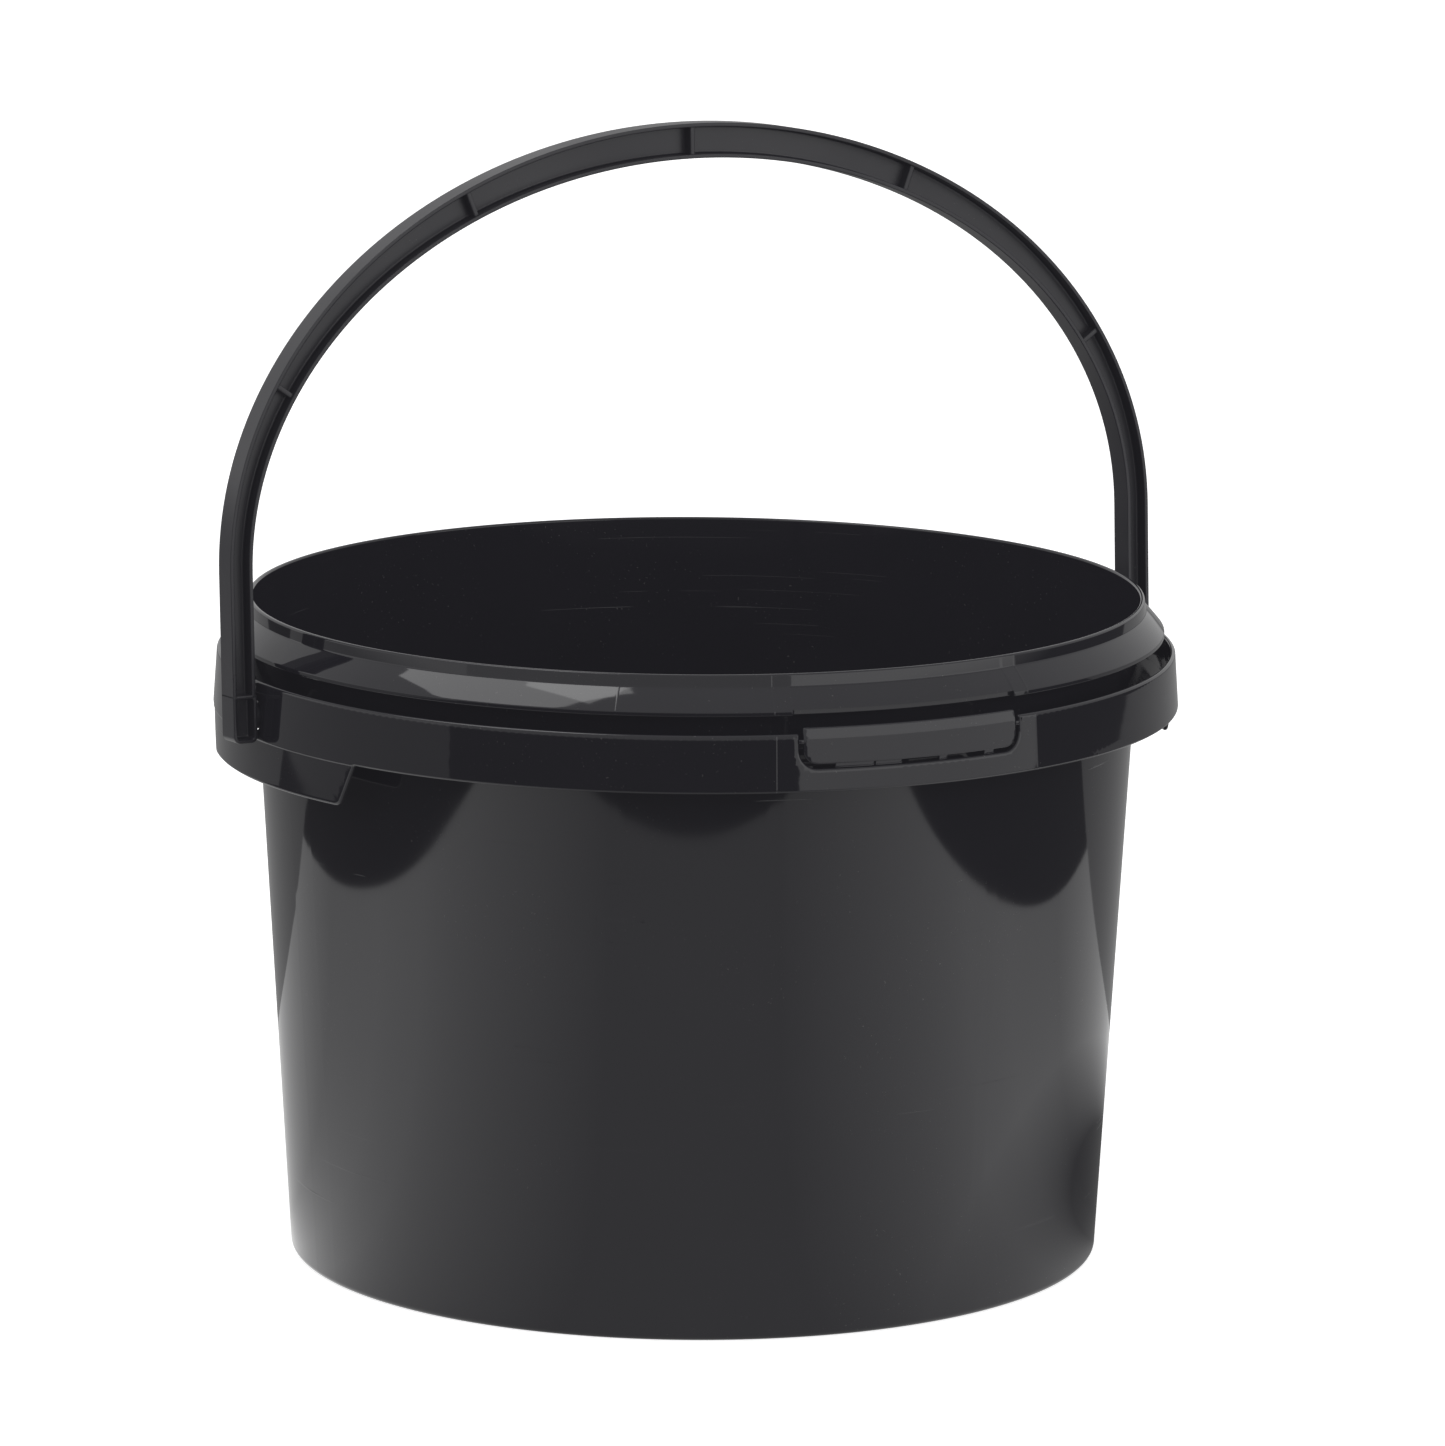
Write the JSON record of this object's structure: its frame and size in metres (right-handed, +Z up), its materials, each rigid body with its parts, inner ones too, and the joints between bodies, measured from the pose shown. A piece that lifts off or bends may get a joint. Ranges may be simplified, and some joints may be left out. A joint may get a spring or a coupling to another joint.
{
  "type": "florist bucket",
  "caption": "Round tapered plastic flower bucket with an upright swing handle, a collar round its rim, finger notch and tear-off tab.",
  "frame": {"origin": "centre of the pail's base, on the surface it stands on", "axes": "+Z up the pail's axis, X along the handle's pivot axis, -Y towards the tear-off tab"},
  "size_m": [0.2386, 0.226, 0.2659],
  "materials": {
    "pail_plastic": "glossy black injection-moulded polypropylene",
    "tab_plastic": "black injection-moulded polypropylene, slightly duller than the pail",
    "handle_plastic": "semi-gloss black injection-moulded polypropylene"
  },
  "bodies": {
    "pail": {"pail": "pail_plastic"},
    "bail": {"bail_handle": "handle_plastic"},
    "tab": {"tear_off_tab": "tab_plastic"}
  },
  "joints": [
    {"name": "bail_swing", "type": "hinge", "parent": "pail", "child": "bail", "pos_m": [0, 0, 0.1355], "axis": [1, 0, 0], "range_deg": [-117.2, 122.8]},
    {"name": "tab_pull", "type": "hinge", "parent": "pail", "child": "tab", "pos_m": [0, -0.1128, 0.1361], "axis": [1, 0, 0], "range_deg": [0, 75]}
  ]
}
